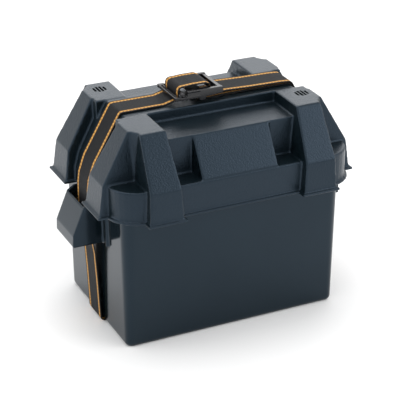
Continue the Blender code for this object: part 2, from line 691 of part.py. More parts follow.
separator_bm = bmesh.new()
low_row = [separator_bm.verts.new((x, y, PLATE_LOW - 0.0010)) for x, y in fold]
separator_edges = [separator_bm.edges.new(pair) for pair in zip(low_row, low_row[1:])]
raised = bmesh.ops.extrude_edge_only(separator_bm, edges=separator_edges)["geom"]
rise = Vector((0, 0, PLATE_TOP - PLATE_LOW - 0.0040))
bmesh.ops.translate(separator_bm, verts=[v for v in raised if isinstance(v, bmesh.types.BMVert)], vec=rise)
separator = helper("separator_fold", separator_bm)
sheet = separator.modifiers.new("sheet", "SOLIDIFY")
sheet.thickness = SEPARATOR_THICK
sheet.offset = 0
sheet.use_even_offset = True
separator_mesh = plain_mesh(separator)
for number, x in enumerate(cell_centres, 1):
    copy = bpy.data.objects.new(f"separator_{number}", separator_mesh)
    helpers.objects.link(copy)
    finish(copy, f"separator_{number}", SEPARATOR, BATTERY)
    copy.location.x = x


# Cover, hollow below, with a raised strip of vent wells and a bushing at each terminal

cover = loft("cover_shape", [rounded_rectangle(*CASE_RIM, z) for z in (CASE_TOP + GAP, COVER_TOP)])
strip_end = cell_centres[-1] + 0.0160
strip_low = (-strip_end, -VENT_STRIP_HALF, COVER_TOP - 0.006)
strip_high = (strip_end, VENT_STRIP_HALF, VENT_STRIP_TOP)
join(cover, box("vent_strip", strip_low, strip_high))
inner = (CASE_RIM[0] - COVER_WALL, CASE_RIM[1] - COVER_WALL, CASE_RIM[2] - COVER_WALL)
hollow_levels = (CASE_TOP - 0.01, COVER_TOP - COVER_WALL)
under = loft("cover_hollow", [rounded_rectangle(*inner, z) for z in hollow_levels])
for number in range(CELLS - 1):
    wall_x = cell_centres[number] + cell_pitch / 2
    rib_low = (wall_x - PARTITION / 2, -0.2, CASE_TOP + 2 * GAP)
    rib_high = (wall_x + PARTITION / 2, 0.2, COVER_TOP)
    cut(under, box(f"cover_rib_{number}", rib_low, rib_high))
cut(cover, under)
for number, x in enumerate(cell_centres, 1):
    cut(cover, cylinder(f"well_{number}", WELL_RADIUS, x, 0, 0.17, VENT_STRIP_TOP + 0.01))
for side in (-1, 1):
    x = side * TERMINAL_X
    bushing_ends = (CASE_TOP + 0.008, COVER_TOP + 0.0022)
    join(cover, cylinder(f"bushing_{side}", BUSHING_RADIUS, x, TERMINAL_Y, *bushing_ends))
    cut(cover, cylinder(f"bushing_hole_{side}", SHANK_RADIUS + 0.0004, x, TERMINAL_Y, 0.17, 0.22))
finish(cover, "battery_cover", CASE_PLASTIC, BATTERY, 30)


# Gang vent caps: each closes three wells and pulls straight up

for name, side in (("left", -1), ("right", 1)):
    xs = sorted((side * 0.0060, side * (strip_end - 0.0020)))
    low = VENT_STRIP_TOP + GAP
    cap = box(f"cap_{side}", (xs[0], -GANG_CAP_HALF, low), (xs[1], GANG_CAP_HALF, low + GANG_CAP_HIGH))
    bevel = cap.modifiers.new("edges", "BEVEL")
    bevel.width = 0.0025
    bevel.segments = 2
    for x in cell_centres:
        if x * side > 0:
            join(cap, cylinder(f"plug_{x:.3f}", PLUG_RADIUS, x, 0, VENT_STRIP_TOP - 0.0160, low + 0.004))
    finish(cap, f"gang_vent_cap_{name}", CAP_PLASTIC, CAPS[side], 30)


# Terminals: a lead casting with a tapered post and a pad, a steel stud in the pad, a washer and a wing nut

for name, side in (("negative", -1), ("positive", 1)):
    x, stud_x = side * TERMINAL_X, side * STUD_X
    foot = COVER_TOP + 0.0022 + GAP
    post = cylinder(f"shank_{name}", SHANK_RADIUS, x, TERMINAL_Y, LINK_Z + 0.0100, foot + 0.004)
    join(post, cylinder(f"collar_{name}", COLLAR_RADIUS, x, TERMINAL_Y, foot, foot + 0.0040))
    taper = (POST_LOW_RADIUS, x, TERMINAL_Y, foot + 0.002, POST_TOP, POST_TOP_RADIUS)
    join(post, cylinder(f"taper_{name}", *taper))
    xs = sorted((x, stud_x))
    arm_low = (xs[0], TERMINAL_Y - ARM_HALF_WIDTH, foot + GAP)
    arm_high = (xs[1], TERMINAL_Y + ARM_HALF_WIDTH, foot + 0.0036)
    join(post, box(f"arm_{name}", arm_low, arm_high))
    join(post, cylinder(f"pad_{name}", PAD_RADIUS, stud_x, TERMINAL_Y, foot + 2 * GAP, PAD_TOP))
    cut(post, cylinder(f"stud_hole_{name}", STUD_RADIUS + GAP, stud_x, TERMINAL_Y, 0.19, 0.22))
    finish(post, f"terminal_{name}", LEAD, BATTERY, 30)
    stud_ends = (foot + 0.0005, STUD_TOP)
    stud = cylinder(f"stud_shape_{name}", STUD_RADIUS, stud_x, TERMINAL_Y, *stud_ends, sides=16)
    finish(stud, f"stud_{name}", STEEL, BATTERY, 30)

    washer_low = PAD_TOP + GAP
    washer_top = washer_low + WASHER_THICK
    washer = cylinder(f"washer_shape_{name}", WASHER_RADIUS, stud_x, TERMINAL_Y, washer_low, washer_top)
    cut(washer, cylinder(f"washer_hole_{name}", STUD_RADIUS + 0.0004, stud_x, TERMINAL_Y, 0.2, 0.22))
    finish(washer, f"washer_{name}", STEEL, BATTERY, 30)

    hub_low = washer_top + GAP
    foot_radius, top_radius = NUT_HUB_RADII
    hub = (foot_radius, stud_x, TERMINAL_Y, hub_low, hub_low + NUT_HUB_HIGH, top_radius)
    nut = cylinder(f"hub_{name}", *hub)
    wing_low, wing_high = TERMINAL_Y - WING_HALF_THICK, TERMINAL_Y + WING_HALF_THICK
    for hand in (-1, 1):
        outline = [(stud_x + hand * a, hub_low + b) for a, b in WING_OUTLINE]
        join(nut, prism(f"wing_{name}_{hand}", outline, wing_low, wing_high, "Y"))
    cut(nut, cylinder(f"thread_{name}", STUD_RADIUS + 0.0004, stud_x, TERMINAL_Y, 0.2, 0.25, sides=16))
    finish(nut, f"wing_nut_{name}", STEEL, NUTS[side], 30)
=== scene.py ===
import math

import bmesh
import bpy
from mathutils import Matrix, Vector


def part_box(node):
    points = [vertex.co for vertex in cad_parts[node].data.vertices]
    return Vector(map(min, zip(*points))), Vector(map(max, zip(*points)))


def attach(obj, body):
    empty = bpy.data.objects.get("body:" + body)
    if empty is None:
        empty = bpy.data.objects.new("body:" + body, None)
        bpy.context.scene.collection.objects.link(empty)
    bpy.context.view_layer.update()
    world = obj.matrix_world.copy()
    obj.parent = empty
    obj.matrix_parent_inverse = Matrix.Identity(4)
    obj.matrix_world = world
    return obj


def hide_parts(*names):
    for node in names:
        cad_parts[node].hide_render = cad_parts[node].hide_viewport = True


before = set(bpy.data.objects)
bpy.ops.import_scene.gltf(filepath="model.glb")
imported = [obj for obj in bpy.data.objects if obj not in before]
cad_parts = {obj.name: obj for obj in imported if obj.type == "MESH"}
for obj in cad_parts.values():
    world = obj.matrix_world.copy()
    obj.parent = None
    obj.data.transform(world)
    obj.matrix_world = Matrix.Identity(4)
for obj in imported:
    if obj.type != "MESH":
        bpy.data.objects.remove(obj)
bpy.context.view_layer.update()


# ---------------------------------------------------------------------------------------------
# Camera, studio floor and lights: a long lens on the front left corner, above the lid. The set is
# a white sweep, with large soft panels overhead, behind and on the left, and a weak one in front.
# ---------------------------------------------------------------------------------------------

view_turn, view_rise = math.radians(-25.27), math.radians(25.90)
aim = Vector((-0.0080, -0.0145, 0.1371))
toward_camera = Vector((
    math.sin(view_turn) * math.cos(view_rise),
    -math.cos(view_turn) * math.cos(view_rise),
    math.sin(view_rise),
))
camera = bpy.data.objects.new("camera", bpy.data.cameras.new("camera"))
camera.data.lens = 138.2
camera.data.sensor_width = 36.0
camera.data.clip_end = 50
camera.location = aim + toward_camera * 1.90
camera.rotation_euler = (-toward_camera).to_track_quat("-Z", "Y").to_euler()
bpy.context.scene.collection.objects.link(camera)
bpy.context.scene.camera = camera
bpy.context.scene.view_settings.view_transform = "Standard"

floor_bm = bmesh.new()
bmesh.ops.create_grid(floor_bm, x_segments=1, y_segments=1, size=12.0)
floor = bpy.data.objects.new("studio_floor", bpy.data.meshes.new("studio_floor"))
floor_bm.to_mesh(floor.data)
floor_bm.free()
bpy.context.scene.collection.objects.link(floor)
floor_paint = bpy.data.materials.new("floor_paint")
floor_paint.use_nodes = True
floor_paint.node_tree.nodes["Principled BSDF"].inputs["Base Color"].default_value = (0.93, 0.93, 0.93, 1)
floor_paint.node_tree.nodes["Principled BSDF"].inputs["Roughness"].default_value = 0.9
floor.data.materials.append(floor_paint)

world = bpy.data.worlds.new("white_studio")
bpy.context.scene.world = world
world.use_nodes = True
world.node_tree.nodes["Background"].inputs["Color"].default_value = (1.0, 1.0, 1.0, 1)
world.node_tree.nodes["Background"].inputs["Strength"].default_value = 1.0


def soft_panel(name, place, target, width, height, power):
    """A rectangular soft light that faces a point."""
    light = bpy.data.lights.new(name, "AREA")
    light.shape = "RECTANGLE"
    light.size, light.size_y = width, height
    light.energy = power
    lamp = bpy.data.objects.new(name, light)
    lamp.location = place
    lamp.rotation_euler = (Vector(target) - Vector(place)).to_track_quat("-Z", "Y").to_euler()
    bpy.context.scene.collection.objects.link(lamp)


soft_panel("overhead", (-0.2, 0.3, 2.2), (0, 0, 0.15), 2.0, 1.6, 15)
soft_panel("back", (0.9, 2.2, 1.25), (0, 0, 0.2), 2.6, 1.4, 14)
soft_panel("left", (-2.2, 0.5, 0.9), (0, 0, 0.1), 1.4, 1.2, 10)
soft_panel("front_right", (1.05, -0.95, 0.85), (0, 0, 0.15), 1.0, 0.9, 6)


# ---------------------------------------------------------------------------------------------
# Lid: one injection moulding of black polypropylene, 2.6 mm thick, with a fine leathery grain and
# soft corners. Two of its towers have a round louvred vent that lets the battery's gas out.
# ---------------------------------------------------------------------------------------------


def add(tree, kind, inputs=(), **settings):
    """Adds a node. inputs gives each named or numbered input its wire or its value."""
    made = tree.nodes.new(kind)
    for setting, value in settings.items():
        setattr(made, setting, value)
    for place, value in dict(inputs).items():
        if isinstance(value, bpy.types.NodeSocket):
            tree.links.new(value, made.inputs[place])
        else:
            made.inputs[place].default_value = value
    return made


def sum_of(tree, operation, *values):
    """A Math node's result, from wires or numbers."""
    return add(tree, "ShaderNodeMath", dict(enumerate(values)), operation=operation).outputs[0]


def ramp(tree, value, low, high, to_low=0.0, to_high=1.0):
    """A smooth step of a value between two limits."""
    steps = {"Value": value, "From Min": low, "From Max": high, "To Min": to_low, "To Max": to_high}
    return add(tree, "ShaderNodeMapRange", steps, interpolation_type="SMOOTHSTEP").outputs["Result"]


def cloud(tree, vector, scale, detail=2.0, roughness=0.5):
    """Noise from 0 to 1."""
    look = {"Vector": vector, "Scale": scale, "Detail": detail, "Roughness": roughness}
    return add(tree, "ShaderNodeTexNoise", look).outputs["Fac"]


def along_axes(tree, x=0.0, y=0.0, z=0.0):
    """A vector from wires or numbers."""
    return add(tree, "ShaderNodeCombineXYZ", {0: x, 1: y, 2: z}).outputs[0]


def effect(name, inputs, outputs):
    """A shader node group, from its named inputs with their values and its named outputs."""
    group = bpy.data.node_groups.new(name, "ShaderNodeTree")
    group.interface.new_socket("Vector", in_out="INPUT", socket_type="NodeSocketVector")
    for label, value in inputs.items():
        group.interface.new_socket(label, in_out="INPUT", socket_type="NodeSocketFloat").default_value = value
    for label in outputs:
        group.interface.new_socket(label, in_out="OUTPUT", socket_type="NodeSocketFloat")
    return group, group.nodes.new("NodeGroupInput").outputs, group.nodes.new("NodeGroupOutput").inputs


def put_out(tree, value, socket):
    tree.links.new(value, socket)


# Grain: small rounded pebbles whose depth varies slowly. Its Mask marks the hollows between the pebbles, which
# are given painted shade
mould_grain, given, result = effect("mould_grain", {"Pebbles": 900.0, "Unevenness": 0.35}, ("Height", "Mask"))
pebble_size = {"Vector": given["Vector"], "Scale": given["Pebbles"]}
pebble = add(mould_grain, "ShaderNodeTexVoronoi", pebble_size, feature="SMOOTH_F1").outputs["Distance"]
rise = sum_of(mould_grain, "SUBTRACT", 1.0, pebble)
rise = sum_of(mould_grain, "MULTIPLY_ADD", cloud(mould_grain, given["Vector"], 2600.0, 3.0), 0.45, rise)
patches = cloud(mould_grain, given["Vector"], 90.0)
depth = sum_of(mould_grain, "MULTIPLY_ADD", patches, given["Unevenness"], 0.7)
put_out(mould_grain, sum_of(mould_grain, "MULTIPLY", rise, depth), result["Height"])
put_out(mould_grain, ramp(mould_grain, pebble, 0.15, 0.65), result["Mask"])

# Flow: the broad uneven gloss that the melt leaves, and faint upright wipe marks
melt_flow, given, result = effect("melt_flow", {"Size": 14.0}, ("Gloss", "Tone"))
broad = cloud(melt_flow, given["Vector"], given["Size"], 3.0)
stretch = {"Vector": given["Vector"], "Scale": (160.0, 160.0, 12.0)}
upright = add(melt_flow, "ShaderNodeMapping", stretch).outputs[0]
wipes = cloud(melt_flow, upright, 1.0, 4.0, 0.65)
gloss = sum_of(melt_flow, "MULTIPLY_ADD", wipes, 0.35, sum_of(melt_flow, "MULTIPLY", broad, 0.65))
put_out(melt_flow, gloss, result["Gloss"])
put_out(melt_flow, broad, result["Tone"])

# Edge wear: rises on outside corners, where handling burnishes the plastic
edge_wear, given, result = effect("edge_wear", {"Start": 0.52, "End": 0.60, "Patches": 120.0}, ("Mask",))
sharpness = add(edge_wear, "ShaderNodeNewGeometry").outputs["Pointiness"]
outside = ramp(edge_wear, sharpness, given["Start"], given["End"])
broken = ramp(edge_wear, cloud(edge_wear, given["Vector"], given["Patches"], 4.0), 0.35, 0.65, 0.35, 1.0)
put_out(edge_wear, sum_of(edge_wear, "MULTIPLY", outside, broken), result["Mask"])

# Dust: settles in specks on what faces up
settled_dust, given, result = effect("settled_dust", {"Specks": 700.0, "Amount": 0.25}, ("Mask",))
facing = add(settled_dust, "ShaderNodeNewGeometry").outputs["Normal"]
upward = add(settled_dust, "ShaderNodeSeparateXYZ", {0: facing}).outputs["Z"]
specks = ramp(settled_dust, cloud(settled_dust, given["Vector"], given["Specks"], 2.0), 0.60, 0.74)
lying = sum_of(settled_dust, "MULTIPLY", specks, ramp(settled_dust, upward, 0.4, 0.95))
put_out(settled_dust, sum_of(settled_dust, "MULTIPLY", lying, given["Amount"]), result["Mask"])


def new_material(name):
    """A material, its tree, its shader and the vector for its patterns."""
    material = bpy.data.materials.new(name)
    material.use_nodes = True
    tree = material.node_tree
    return material, tree, tree.nodes["Principled BSDF"], add(tree, "ShaderNodeTexCoord").outputs["Object"]


def effect_in(tree, group, vector, **values):
    """Places an effect in a material with its own values, and gives its outputs."""
    placed = tree.nodes.new("ShaderNodeGroup")
    placed.node_tree = group
    tree.links.new(vector, placed.inputs["Vector"])
    for label, value in values.items():
        placed.inputs[label].default_value = value
    return placed.outputs


def tint(tree, mask, first, second):
    """Two colours mixed by a mask. Each is a colour or a wire."""
    inputs = {0: mask}
    for place, colour in ((6, first), (7, second)):
        inputs[place] = (*colour, 1.0) if isinstance(colour, tuple) else colour
    return add(tree, "ShaderNodeMix", inputs, data_type="RGBA").outputs[2]


def relief(tree, shader, height, strength, distance):
    """Feeds a height to the shader's normal."""
    bump = add(tree, "ShaderNodeBump", {"Height": height, "Strength": strength, "Distance": distance})
    tree.links.new(bump.outputs["Normal"], shader.inputs["Normal"])


def moulded_plastic(
    name, dark, light, worn, rough, level, pebbles, depth, swing, dust=0.0, mirror=(1.0, 1.0, 1.0)
):
    """Plastic from its two tones and its worn edge's, its roughness and how far that swings, its mirror's
    level and colour, its grain's fineness and depth, and its dust. The grain's hollows get painted shade."""
    material, tree, shader, place = new_material(name)
    skin = effect_in(tree, mould_grain, place, Pebbles=pebbles)
    melt = effect_in(tree, melt_flow, place)
    wear = effect_in(tree, edge_wear, place)
    colour = tint(tree, ramp(tree, melt["Tone"], 0.35, 0.65), dark, light)
    # painted shade: the colour is darkened toward the dark tone in the grain's hollows
    colour = tint(tree, sum_of(tree, "MULTIPLY", skin["Mask"], 0.35), colour, dark)
    colour = tint(tree, sum_of(tree, "MULTIPLY", wear["Mask"], 0.5), colour, worn)
    if dust:
        lying = effect_in(tree, settled_dust, place, Amount=dust)
        colour = tint(tree, lying["Mask"], colour, (0.32, 0.31, 0.29))
    tree.links.new(colour, shader.inputs["Base Color"])
    rough_here = sum_of(tree, "MULTIPLY_ADD", melt["Gloss"], swing, rough - swing / 2)
    rough_here = sum_of(tree, "MULTIPLY_ADD", wear["Mask"], -0.08, rough_here)
    tree.links.new(rough_here, shader.inputs["Roughness"])
    shader.inputs["Specular IOR Level"].default_value = level
    shader.inputs["Specular Tint"].default_value = (*mirror, 1.0)
    relief(tree, shader, skin["Height"], 0.6, depth)
    return material


def settle(piece):
    """Makes a piece's modifiers into its plain mesh."""
    graph = bpy.context.evaluated_depsgraph_get()
    done = bpy.data.meshes.new_from_object(piece.evaluated_get(graph))
    piece.modifiers.clear()
    old = piece.data
    piece.data = done
    done.name = piece.name
    if old.users == 0:
        bpy.data.meshes.remove(old)


def piece_from(name, bm):
    """An object from a finished bmesh."""
    mesh = bpy.data.meshes.new(name)
    bm.to_mesh(mesh)
    bm.free()
    piece = bpy.data.objects.new(name, mesh)
    bpy.context.scene.collection.objects.link(piece)
    return piece


def softened(node, name, voxel, passes, keep, plugs=(), still_below=None):
    """A copy of a moulding or casting with a real one's soft corners: remeshed finely, smoothed, then
    thinned to keep thousand triangles. Plugs are joined on first. Below still_below it is smoothed less."""
    bm = bmesh.new()
    bm.from_mesh(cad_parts[node].data)
    bmesh.ops.remove_doubles(bm, verts=bm.verts, dist=1e-6)
    piece = piece_from(name, bm)
    for plug in plugs:
        union = piece.modifiers.new("plug", "BOOLEAN")
        union.operation, union.object = "UNION", plug
    coarse = 1.0
    remesh = piece.modifiers.new("remesh", "REMESH")
    remesh.mode, remesh.voxel_size = "VOXEL", voxel * coarse
    settle(piece)
    for plug in plugs:
        bpy.data.objects.remove(plug)
    smooth = piece.modifiers.new("smooth", "SMOOTH")
    smooth.factor, smooth.iterations = 0.5, max(1, round(passes / coarse**2))
    if still_below is not None:
        soften = piece.vertex_groups.new(name="soften")
        for vertex in piece.data.vertices:
            soften.add([vertex.index], 0.25 if vertex.co.z < still_below else 1.0, "REPLACE")
        smooth.vertex_group = "soften"
    thin = piece.modifiers.new("thin", "DECIMATE")
    thin.ratio = min(1.0, 1000 * keep / len(piece.data.polygons) / 2)
    settle(piece)
    piece.vertex_groups.clear()
    piece.data.shade_smooth()
    return piece


def place_piece(piece, material, body, slot, *nodes):
    """Gives a finished piece its material and its place in the frame."""
    piece.data.materials.clear()
    piece.data.materials.append(material)
    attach(piece, body)
    if nodes:
        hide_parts(*nodes)


def shape_tree(name, inputs):
    """A Geometry Nodes tree that ends in realised instances and a material, from its named inputs."""
    tree = bpy.data.node_groups.new(name, "GeometryNodeTree")
    tree.interface.new_socket("Geometry", in_out="INPUT", socket_type="NodeSocketGeometry")
    for label, value in inputs.items():
        kind = "NodeSocketInt" if isinstance(value, int) else "NodeSocketFloat"
        tree.interface.new_socket(label, in_out="INPUT", socket_type=kind).default_value = value
    tree.interface.new_socket("Finish", in_out="INPUT", socket_type="NodeSocketMaterial")
    tree.interface.new_socket("Geometry", in_out="OUTPUT", socket_type="NodeSocketGeometry")
    return tree, tree.nodes.new("NodeGroupInput").outputs


def end_tree(tree, geometry, given):
    """Closes a tree with Realize Instances and Set Material."""
    real = add(tree, "GeometryNodeRealizeInstances", {0: geometry}).outputs[0]
    finish = {"Geometry": real, "Material": given["Finish"]}
    finished = add(tree, "GeometryNodeSetMaterial", finish).outputs[0]
    tree.links.new(finished, tree.nodes.new("NodeGroupOutput").inputs["Geometry"])


def at_points(tree, points, shape, **settings):
    """Copies of a shape at points. The settings are the turn and size of each."""
    copies = {"Points": points, "Instance": shape, **settings}
    return add(tree, "GeometryNodeInstanceOnPoints", copies).outputs[0]


def row_of_points(tree, count, step):
    """Points one step apart."""
    return add(tree, "GeometryNodeMeshLine", {"Count": count, "Offset": step}).outputs[0]


def grown(piece, tree, material, **values):
    """Runs a tree on a piece's points and edges, and keeps the result as a plain mesh."""
    shape = piece.modifiers.new("shape", "NODES")
    shape.node_group = tree
    sockets = {item.name: item.identifier for item in tree.interface.items_tree if item.in_out == "INPUT"}
    shape[sockets["Finish"]] = material
    for label, value in values.items():
        shape[sockets[label.replace("_", " ")]] = value
    settle(piece)
    return piece


def points_at(name, points, joined=False):
    """Loose points, or a chain of edges through them."""
    bm = bmesh.new()
    made = [bm.verts.new(point) for point in points]
    if joined:
        for a, b in zip(made, made[1:]):
            bm.edges.new((a, b))
    return piece_from(name, bm)


def disc(name, radius, x, y, low, high, sides=48):
    bm = bmesh.new()
    middle = Matrix.Translation((x, y, (low + high) / 2))
    bmesh.ops.create_cone(
        bm, cap_ends=True, segments=sides, radius1=radius, radius2=radius, depth=high - low, matrix=middle
    )
    return piece_from(name, bm)


# Vent slots: blades at each point, whose lengths follow the vent's round outline
vent_blades, given = shape_tree(
    "vent_blades", {"Slots": 4, "Width": 0.0029, "Pitch": 0.0043, "Radius": 0.0090, "Margin": 0.0016}
)
slot_row = row_of_points(vent_blades, given["Slots"], along_axes(vent_blades, x=given["Pitch"]))
number = add(vent_blades, "GeometryNodeInputIndex").outputs[0]
middle_slot = sum_of(vent_blades, "MULTIPLY", sum_of(vent_blades, "SUBTRACT", given["Slots"], 1.0), 0.5)
off_middle = sum_of(vent_blades, "SUBTRACT", number, middle_slot)
off_middle = sum_of(vent_blades, "ABSOLUTE", sum_of(vent_blades, "MULTIPLY", off_middle, given["Pitch"]))
square = sum_of(vent_blades, "POWER", given["Radius"], 2.0)
square = sum_of(vent_blades, "SUBTRACT", square, sum_of(vent_blades, "POWER", off_middle, 2.0))
chord = sum_of(vent_blades, "MULTIPLY", sum_of(vent_blades, "SQRT", square), 2.0)
length = sum_of(vent_blades, "SUBTRACT", chord, given["Margin"])
blade = add(vent_blades, "GeometryNodeMeshCube", {"Size": (1.0, 1.0, 1.0)}).outputs[0]
blade_size = along_axes(vent_blades, given["Width"], length, 0.02)
blades = at_points(vent_blades, slot_row, blade, Scale=blade_size)
end_tree(vent_blades, at_points(vent_blades, given["Geometry"], blades), given)

lid_low, lid_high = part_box("box_lid")
vent_places = ((-0.1057, 0.0648), (0.1105, -0.0512))
vent_slots, slot_width, vent_pitch, vent_radius = 4, 0.0029, 0.0043, 0.0090
lid_wall, lip_high = 0.0026, 0.0045

lid_plastic = moulded_plastic(
    "lid_grained_plastic", (0.0026, 0.0062, 0.0082), (0.0040, 0.0082, 0.0108), (0.016, 0.022, 0.028),
    rough=0.30, level=0.48, pebbles=560.0, depth=0.00045, swing=0.10, dust=0.03, mirror=(0.55, 0.74, 1.0),
)
vent_plugs = [
    disc(f"vent_plug_{i}", vent_radius + 0.001, x, y, lid_high.z - lid_wall + 0.0001, lid_high.z - 0.00005)
    for i, (x, y) in enumerate(vent_places)
]
lid = softened("box_lid", "battery_box_lid", 0.0011, 8, 150, vent_plugs, still_below=lid_low.z + lip_high)
first_slot = (vent_slots - 1) / 2 * vent_pitch
cutter = points_at("vent_cutter", [(x - first_slot, y, lid_high.z - 0.001) for x, y in vent_places])
grown(
    cutter, vent_blades, lid_plastic, Slots=vent_slots, Width=slot_width, Pitch=vent_pitch, Radius=vent_radius
)
slots = lid.modifiers.new("vents", "BOOLEAN")
slots.operation, slots.object, slots.solver = "DIFFERENCE", cutter, "MANIFOLD"
settle(lid)
bpy.data.objects.remove(cutter)
lid.data.set_sharp_from_angle(angle=math.radians(50))
place_piece(lid, lid_plastic, "lid", "moulded_black", "box_lid")


# ---------------------------------------------------------------------------------------------
# Base: the tub with its rim flange, and a carrying hood moulded on each end that the strap is
# threaded through. It is the same plastic, with a smoother skin that catches a sheen.
# ---------------------------------------------------------------------------------------------

base_plastic = moulded_plastic(
    "base_satin_plastic", (0.0026, 0.0056, 0.0074), (0.0036, 0.0072, 0.0094), (0.012, 0.018, 0.024),
    rough=0.15, level=0.42, pebbles=1500.0, depth=0.000012, swing=0.08, dust=0.02, mirror=(0.55, 0.76, 1.0),
)
base = softened("box_base", "battery_box_base", 0.0012, 6, 150)
place_piece(base, base_plastic, "base", "moulded_black", "box_base")


# ---------------------------------------------------------------------------------------------
# Strap: black polypropylene webbing, 38 mm wide, with two orange stripes woven in. One length runs
# round the box: under the base, up through both hoods, over the ends of the lid, to the buckle.
# ---------------------------------------------------------------------------------------------

webbing_wide, webbing_thick = 0.0380, 0.0013
stripe_middle, stripe_half, braid_pitch = 0.0153, 0.0018, 0.0044

webbing_tape, given = shape_tree("webbing_tape", {"Width": 0.0380, "Step": 0.0016, "Across": 25})
route = add(webbing_tape, "GeometryNodeMeshToCurve", {0: given["Geometry"]}).outputs[0]
smooth_route = add(webbing_tape, "GeometryNodeCurveSplineType", {"Curve": route}, spline_type="CATMULL_ROM")
steps = {"Curve": smooth_route.outputs[0], "Length": given["Step"]}
route = add(webbing_tape, "GeometryNodeResampleCurve", steps, mode="LENGTH").outputs[0]
run = add(webbing_tape, "GeometryNodeCaptureAttribute", {0: route})
run.capture_items.new("FLOAT", "along")
so_far = add(webbing_tape, "GeometryNodeSplineParameter").outputs["Length"]
webbing_tape.links.new(so_far, run.inputs["along"])
half_width = sum_of(webbing_tape, "MULTIPLY", given["Width"], 0.5)
far_edge = sum_of(webbing_tape, "MULTIPLY", half_width, -1.0)
edges = {"Start": along_axes(webbing_tape, x=far_edge), "End": along_axes(webbing_tape, x=half_width)}
pick = add(webbing_tape, "GeometryNodeCurvePrimitiveLine", edges).outputs[0]
cords = {"Curve": pick, "Count": given["Across"]}
pick = add(webbing_tape, "GeometryNodeResampleCurve", cords, mode="COUNT").outputs[0]
weft = add(webbing_tape, "GeometryNodeCaptureAttribute", {0: pick})
weft.capture_items.new("FLOAT", "across")
position = add(webbing_tape, "GeometryNodeInputPosition").outputs[0]
sideways = add(webbing_tape, "ShaderNodeSeparateXYZ", {0: position})
webbing_tape.links.new(sideways.outputs["X"], weft.inputs["across"])
woven = add(
    webbing_tape, "GeometryNodeCurveToMesh", {"Curve": run.outputs[0], "Profile Curve": weft.outputs[0]}
).outputs[0]
place_in_weave = along_axes(webbing_tape, run.outputs["along"], weft.outputs["across"])
woven = add(
    webbing_tape,
    "GeometryNodeStoreNamedAttribute",
    {"Geometry": woven, "Name": "place_in_weave", "Value": place_in_weave},
    data_type="FLOAT_VECTOR",
    domain="POINT",
).outputs[0]
end_tree(webbing_tape, woven, given)

# Weave: warp cords side by side, each lifted in turn by the weft. Its gap output is painted shade in the low
# places between the cords
webbing_weave, given, result = effect(
    "webbing_weave", {"Cords": 780.0, "Picks": 560.0}, ("Height", "Painted Gap Shade", "Fluff")
)
parts = add(webbing_weave, "ShaderNodeSeparateXYZ", {0: given["Vector"]}).outputs
cord_at = sum_of(webbing_weave, "MULTIPLY", parts["Y"], given["Cords"])
row = sum_of(webbing_weave, "FLOOR", cord_at)
pick_at = sum_of(webbing_weave, "MULTIPLY", parts["X"], given["Picks"])
pick_at = sum_of(webbing_weave, "MULTIPLY_ADD", row, 0.5, pick_at)


def humps(tree, value):
    """One hump from 0 to 1 for each whole number."""
    wave = sum_of(tree, "SINE", sum_of(tree, "MULTIPLY", value, math.pi))
    return sum_of(tree, "ABSOLUTE", wave)


cord_lift = sum_of(webbing_weave, "MULTIPLY_ADD", humps(webbing_weave, pick_at), 0.6, 0.4)
cloth = sum_of(webbing_weave, "MULTIPLY", humps(webbing_weave, cord_at), cord_lift)
fluff = cloud(webbing_weave, given["Vector"], 1900.0, 3.0, 0.6)
put_out(webbing_weave, sum_of(webbing_weave, "MULTIPLY_ADD", fluff, 0.25, cloth), result["Height"])
put_out(webbing_weave, ramp(webbing_weave, cloth, 0.30, 0.05), result["Painted Gap Shade"])
put_out(webbing_weave, fluff, result["Fluff"])

webbing_cloth, tree, shader, place = new_material("striped_webbing")
place = add(tree, "ShaderNodeAttribute", attribute_name="place_in_weave").outputs["Vector"]
weave = effect_in(tree, webbing_weave, place)
parts = add(tree, "ShaderNodeSeparateXYZ", {0: place}).outputs
off_stripe = sum_of(tree, "SUBTRACT", sum_of(tree, "ABSOLUTE", parts["Y"]), stripe_middle)
chevron = sum_of(tree, "MULTIPLY_ADD", sum_of(tree, "ABSOLUTE", off_stripe), 1.1, parts["X"])
twist = sum_of(tree, "SINE", sum_of(tree, "MULTIPLY", chevron, 2 * math.pi / braid_pitch))
braid = ramp(tree, twist, -0.7, 0.7)
off_stripe = sum_of(tree, "ABSOLUTE", off_stripe)
stripe = ramp(tree, off_stripe, stripe_half + 0.0002, stripe_half - 0.0002)
stripe_edge = ramp(tree, off_stripe, stripe_half + 0.0009, stripe_half + 0.0003)
black_yarn = tint(tree, weave["Fluff"], (0.0030, 0.0031, 0.0036), (0.0100, 0.0100, 0.0112))
orange_yarn = tint(tree, ramp(tree, weave["Fluff"], 0.3, 0.7), (0.60, 0.29, 0.055), (0.80, 0.47, 0.130))
orange_yarn = tint(tree, braid, (0.36, 0.165, 0.036), orange_yarn)
yarn = tint(tree, stripe_edge, black_yarn, (0.040, 0.019, 0.010))
yarn = tint(tree, stripe, yarn, orange_yarn)
# painted shade: the yarn is darkened to near-black where the cords dip, between them
yarn = tint(tree, sum_of(tree, "MULTIPLY", weave["Painted Gap Shade"], 0.75), yarn, (0.003, 0.003, 0.003))
tree.links.new(yarn, shader.inputs["Base Color"])
tree.links.new(ramp(tree, weave["Fluff"], 0.2, 0.8, 0.60, 0.80), shader.inputs["Roughness"])
shader.inputs["Specular IOR Level"].default_value = 0.20
shader.inputs["Sheen Weight"].default_value = 0.02
shader.inputs["Sheen Roughness"].default_value = 0.45
shader.inputs["Sheen Tint"].default_value = (0.75, 0.80, 0.90, 1.0)
relief(tree, shader, weave["Height"], 0.55, 0.00022)

